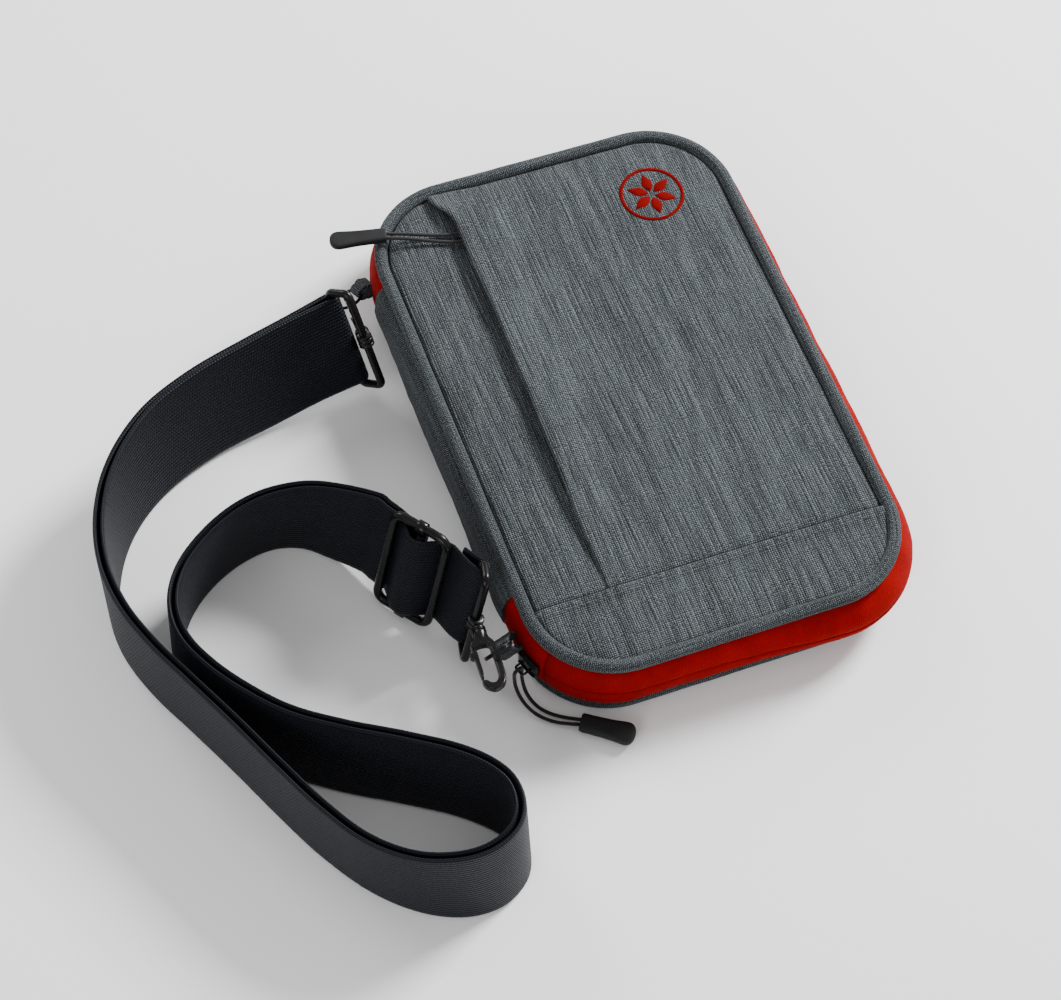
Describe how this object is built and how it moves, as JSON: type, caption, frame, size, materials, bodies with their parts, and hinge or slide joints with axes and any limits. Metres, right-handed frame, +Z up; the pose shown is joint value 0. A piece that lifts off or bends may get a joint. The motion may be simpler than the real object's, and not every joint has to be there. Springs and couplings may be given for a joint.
{
  "type": "compact padded zip case with shoulder strap",
  "caption": "Compact rounded zip case lying on its back, with a flap-covered pocket zip and a doubled webbing strap on swivel hooks.",
  "frame": {"origin": "middle of the flat back, on the surface the case lies on", "axes": "+Z up out of the back towards the cover, +Y along the case towards its pocket pull, -X towards the fabric spine"},
  "size_m": [0.2689, 0.2668, 0.0452],
  "materials": {
    "shell_fabric": "grey melange twill",
    "zip_tape": "red woven tape",
    "zip_coil": "red reverse coil",
    "board": "foam board",
    "lining": "plain lining cloth",
    "print": "raised red print",
    "webbing": "ribbed webbing",
    "hardware": "glossy black",
    "cord": "braided cord",
    "pull_rubber": "moulded matt"
  },
  "bodies": {
    "case": {"back_panel": "shell_fabric", "back_board": "board", "back_lining": "lining", "back_piping": "shell_fabric", "back_gusset_corners": "zip_tape", "back_gusset_right": "zip_tape", "back_gusset_top": "zip_tape", "back_gusset_bottom": "zip_tape", "back_zip_coil": "zip_coil", "zip_end_top": "zip_tape", "zip_end_bottom": "zip_tape", "zip_stops": "zip_coil", "spine_cover": "shell_fabric", "spine_lining": "board", "ring_tab_upper": "shell_fabric", "ring_tab_lower": "shell_fabric", "strap_hook_run": "webbing", "strap_front_run": "webbing", "strap_loop_run": "webbing", "strap_back_run": "webbing", "strap_curl_run": "webbing", "strap_tail_run": "webbing", "strap_sewn_end": "webbing", "strap_upper_wrap": "webbing", "strap_adjuster_frame": "hardware", "strap_adjuster_bar": "hardware", "upper_hook_loop": "hardware", "lower_hook_loop": "hardware"},
    "cover": {"front_board": "board", "front_lining": "lining", "front_piping": "shell_fabric", "front_gusset_corners": "zip_tape", "front_gusset_right": "zip_tape", "front_gusset_top": "zip_tape", "front_gusset_bottom": "zip_tape", "front_zip_coil": "zip_coil", "front_left_panel": "shell_fabric", "front_flap_panel": "shell_fabric", "front_bottom_band": "shell_fabric", "front_rosette": "print", "inner_pocket": "lining", "pocket_zip_tape": "zip_tape"},
    "main_slider": {"main_zip_slider": "hardware"},
    "main_pull": {"main_pull_cord": "cord", "main_pull_tab": "pull_rubber"},
    "pocket_slider": {"pocket_zip_slider": "hardware"},
    "pocket_pull": {"pocket_pull_cord": "cord", "pocket_pull_tab": "pull_rubber"},
    "upper_swivel": {"upper_hook_swivel": "hardware"},
    "upper_claw": {"upper_hook_claw": "hardware", "upper_hook_rivet": "hardware"},
    "upper_gate": {"upper_hook_gate": "hardware"},
    "upper_ring": {"upper_split_ring": "hardware"},
    "lower_swivel": {"lower_hook_swivel": "hardware"},
    "lower_claw": {"lower_hook_claw": "hardware", "lower_hook_rivet": "hardware"},
    "lower_gate": {"lower_hook_gate": "hardware"},
    "lower_ring": {"lower_split_ring": "hardware"}
  },
  "joints": [
    {"name": "cover_hinge", "type": "hinge", "parent": "case", "child": "cover", "pos_m": [-0.0666, 0, 0.0286], "axis": [0, -1, 0], "range_deg": [0, 70]},
    {"name": "main_zip", "type": "hinge", "parent": "case", "child": "main_slider", "pos_m": [-0.037, -0.073, 0.01555], "axis": [0, 0, -1], "range_deg": [-11, 0]},
    {"name": "main_pull_lift", "type": "hinge", "parent": "main_slider", "child": "main_pull", "pos_m": [-0.07393, -0.08644, 0.01555], "axis": [-0.8211, -0.5708, 0], "range_deg": [0, 40]},
    {"name": "pocket_zip", "type": "slide", "parent": "cover", "child": "pocket_slider", "axis": [0, 1, 0], "range_m": [-0.014, 0]},
    {"name": "pocket_pull_swing", "type": "hinge", "parent": "pocket_slider", "child": "pocket_pull", "pos_m": [-0.0313, 0.07805, 0.03055], "axis": [0, 0, 1], "range_deg": [-8, 5]},
    {"name": "upper_hook_swing", "type": "hinge", "parent": "case", "child": "upper_swivel", "pos_m": [-0.08193, 0.05031, 0.02629], "axis": [-0.1631, 0.4492, 0.8784], "range_deg": [-2, 2]},
    {"name": "upper_hook_turn", "type": "hinge", "parent": "upper_swivel", "child": "upper_claw", "pos_m": [-0.08193, 0.05031, 0.02629], "axis": [0.0831, 0.8934, -0.4415], "range_deg": [-10, 10]},
    {"name": "upper_gate", "type": "hinge", "parent": "upper_claw", "child": "upper_gate", "pos_m": [-0.08155, 0.06313, 0.0231], "axis": [-0.9676, -0.0337, -0.2503], "range_deg": [0, 20], "stiffness_Nm_per_rad": 0.02, "springref_deg": -17.19},
    {"name": "upper_ring_swing", "type": "hinge", "parent": "case", "child": "upper_ring", "pos_m": [-0.07447, 0.07911, 0.01362], "axis": [-0.1708, 0.8542, -0.4911], "range_deg": [-3, 3]},
    {"name": "lower_hook_swing", "type": "hinge", "parent": "case", "child": "lower_swivel", "pos_m": [-0.08311, -0.06811, 0.02449], "axis": [0.2291, 0.1718, 0.9581], "range_deg": [-2, 2]},
    {"name": "lower_hook_turn", "type": "hinge", "parent": "lower_swivel", "child": "lower_claw", "pos_m": [-0.08311, -0.06811, 0.02449], "axis": [-0.1009, -0.9748, 0.1989], "range_deg": [-12, 12]},
    {"name": "lower_gate", "type": "hinge", "parent": "lower_claw", "child": "lower_gate", "pos_m": [-0.0873, -0.08039, 0.02705], "axis": [0.0198, 0.1979, 0.98], "range_deg": [0, 14], "stiffness_Nm_per_rad": 0.02, "springref_deg": -17.19},
    {"name": "lower_ring_swing", "type": "hinge", "parent": "case", "child": "lower_ring", "pos_m": [-0.07765, -0.08031, 0.02343], "axis": [0.8316, 0.0302, 0.5546], "range_deg": [-3, 3]}
  ]
}
